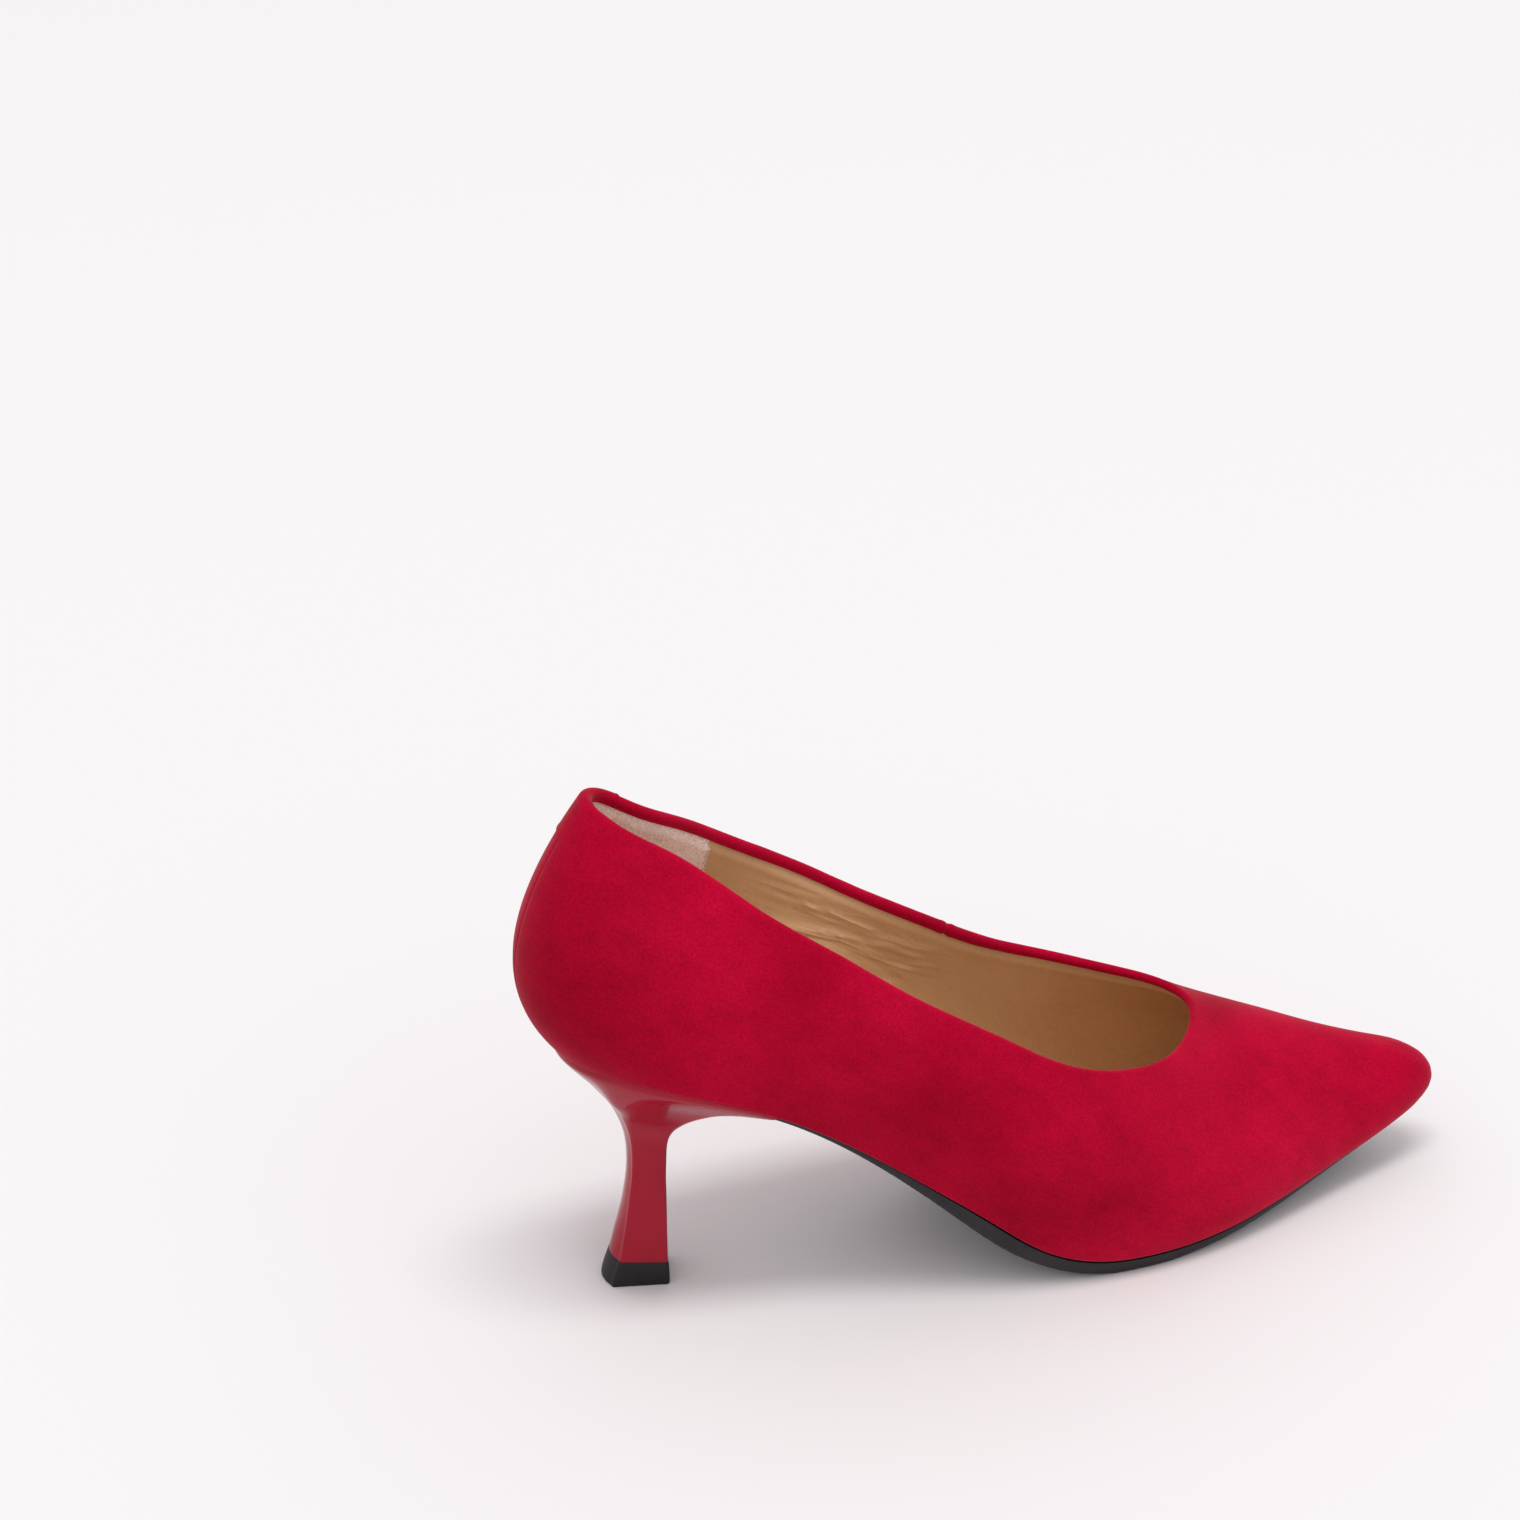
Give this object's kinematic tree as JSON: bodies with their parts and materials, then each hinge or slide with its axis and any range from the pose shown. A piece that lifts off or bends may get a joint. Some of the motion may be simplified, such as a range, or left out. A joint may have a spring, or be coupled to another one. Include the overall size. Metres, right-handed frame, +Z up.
{
  "type": "high heel pump",
  "caption": "Pointed high heel pump for the right foot: suede upper with an open topline, leather lining, thin black sole and a slim flared heel.",
  "frame": {"origin": "middle of the shoe's box, at ground level", "axes": "+X from the heel to the toe, +Y to the inner (medial) side of the foot, +Z up"},
  "size_m": [0.2408, 0.0786, 0.1358],
  "materials": {
    "suede": "napped suede",
    "lining_leather": "smooth, semi matt",
    "grip_suede": "napped suede",
    "sock_leather": "smooth, semi matt",
    "fibre_board": "matt cellulose board",
    "stiffener": "matt, impregnated sheet",
    "webbing": "woven tape",
    "foam": "latex foam",
    "cork": "bonded cork",
    "sole": "satin",
    "lacquer": "high gloss lacquer",
    "lift": "satin",
    "steel": "bright"
  },
  "bodies": {
    "root": {"vamp": "suede", "medial_quarter": "suede", "topline_tape": "webbing", "toe_puff": "stiffener", "heel_counter": "stiffener", "vamp_lining": "lining_leather", "lateral_quarter_lining": "lining_leather", "medial_quarter_lining": "lining_leather", "heel_grip": "grip_suede", "insole_board": "fibre_board", "shank_board": "fibre_board", "steel_shank": "steel", "shank_rivet_rear": "steel", "shank_rivet_front": "steel", "bottom_filler": "cork", "heel_pad": "foam", "forefoot_pad": "foam", "sock_lining": "sock_leather", "outsole": "sole", "heel_block": "lacquer", "heel_tube": "steel", "top_piece": "lift", "top_piece_pin": "steel", "heel_screw": "steel", "heel_nail_1": "steel", "heel_nail_2": "steel", "heel_nail_3": "steel", "heel_nail_4": "steel"}
  },
  "joints": []
}
